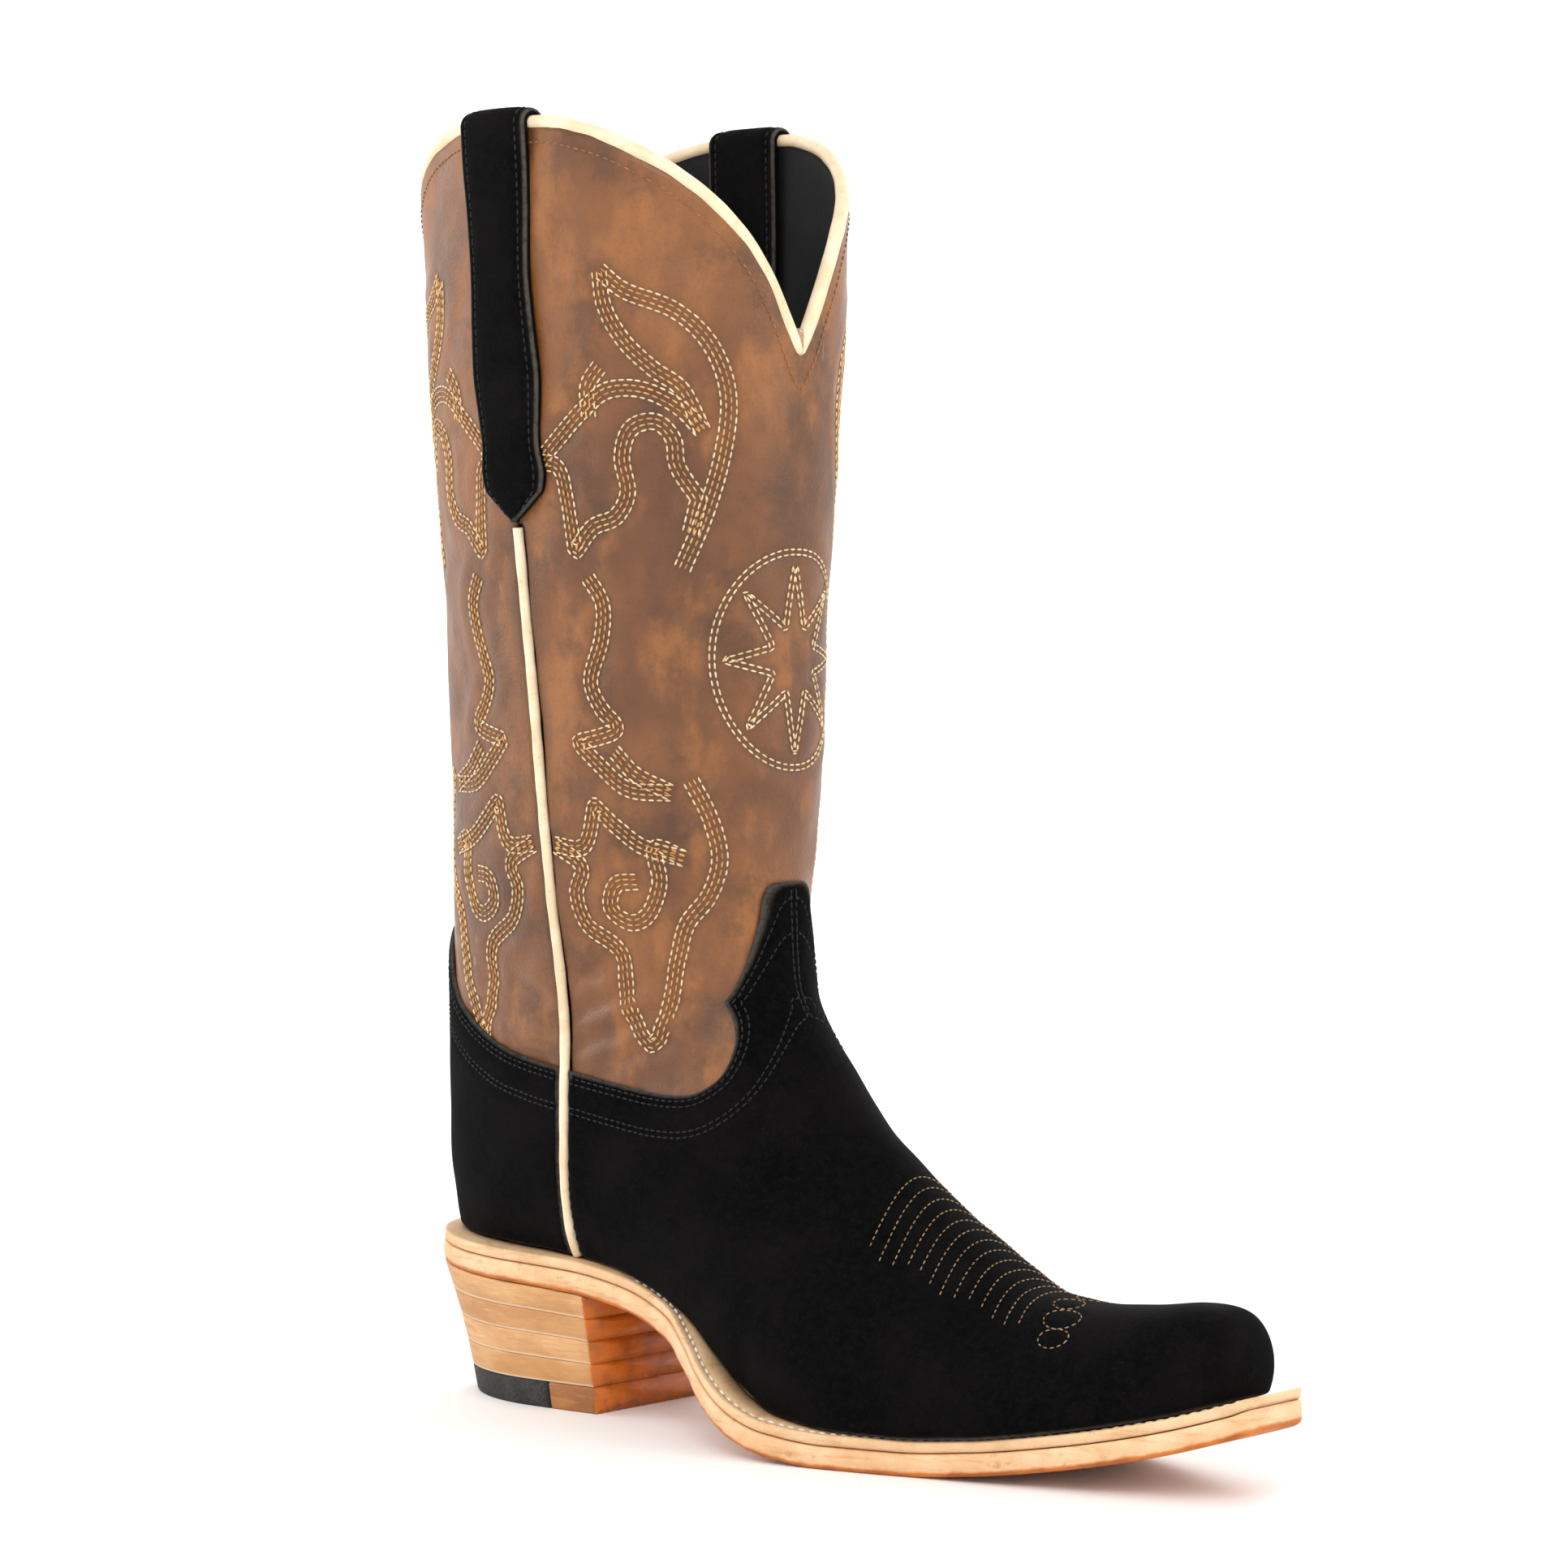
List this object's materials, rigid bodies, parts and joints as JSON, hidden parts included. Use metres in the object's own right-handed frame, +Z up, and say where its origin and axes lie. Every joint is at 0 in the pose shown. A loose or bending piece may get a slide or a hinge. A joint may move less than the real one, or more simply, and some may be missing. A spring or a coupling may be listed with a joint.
{
  "type": "cowboy boot",
  "caption": "Left western boot with tall stitched leather shaft, dipped piped collar, suede vamp, pull straps, narrow cut toe, leather sole and underslung stacked heel.",
  "frame": {"origin": "centre of the rubber heel cap's flat underside, on the ground", "axes": "+X towards the toe, +Y towards the lateral (outer) side of the foot, +Z up the shaft"},
  "size_m": [0.3091, 0.1105, 0.3809],
  "materials": {
    "suede_black": "black napped suede, roughness 0.95",
    "leather_brown": "brown pull-up leather with scuffs and lighter rubs, roughness 0.5",
    "lining_black": "black smooth lining leather, roughness 0.55",
    "lining_tan": "undyed lining leather, roughness 0.8",
    "piping_cream": "cream leather piping, roughness 0.55",
    "leather_veg_tan": "natural vegetable-tanned sole leather, burnished edge, roughness 0.5",
    "outsole_leather": "natural sole leather, orange-stained bevel and breast, roughness 0.45",
    "heel_rubber": "black heel rubber, roughness 0.9",
    "insole_leather": "insole board leather, roughness 0.8",
    "cork": "cork filler, roughness 0.95",
    "stiffener_board": "leatherboard stiffener, roughness 0.85",
    "steel": "plain steel, roughness 0.4"
  },
  "bodies": {
    "root": {"back_shaft_lining": "lining_black", "back_shaft_panel": "leather_brown", "collar_piping_lateral": "piping_cream", "collar_piping_medial": "piping_cream", "cork_filler": "cork", "front_shaft_lining": "lining_black", "front_shaft_panel": "leather_brown", "heel_cap_leather": "outsole_leather", "heel_cap_rubber": "heel_rubber", "heel_counter": "suede_black", "heel_lift_1": "leather_veg_tan", "heel_lift_2": "leather_veg_tan", "heel_lift_3": "leather_veg_tan", "heel_lift_4": "leather_veg_tan", "heel_lining": "lining_tan", "heel_nail_1": "steel", "heel_nail_2": "steel", "heel_nail_3": "steel", "heel_nail_4": "steel", "heel_nail_5": "steel", "heel_stiffener": "stiffener_board", "insole": "insole_leather", "outsole": "outsole_leather", "pull_strap_lateral": "suede_black", "pull_strap_medial": "suede_black", "shank_steel": "steel", "side_piping_lateral": "piping_cream", "side_piping_medial": "piping_cream", "sock_liner": "lining_tan", "toe_puff": "stiffener_board", "vamp": "suede_black", "vamp_interlining": "stiffener_board", "vamp_lining": "lining_tan", "welt": "leather_veg_tan"}
  },
  "joints": []
}
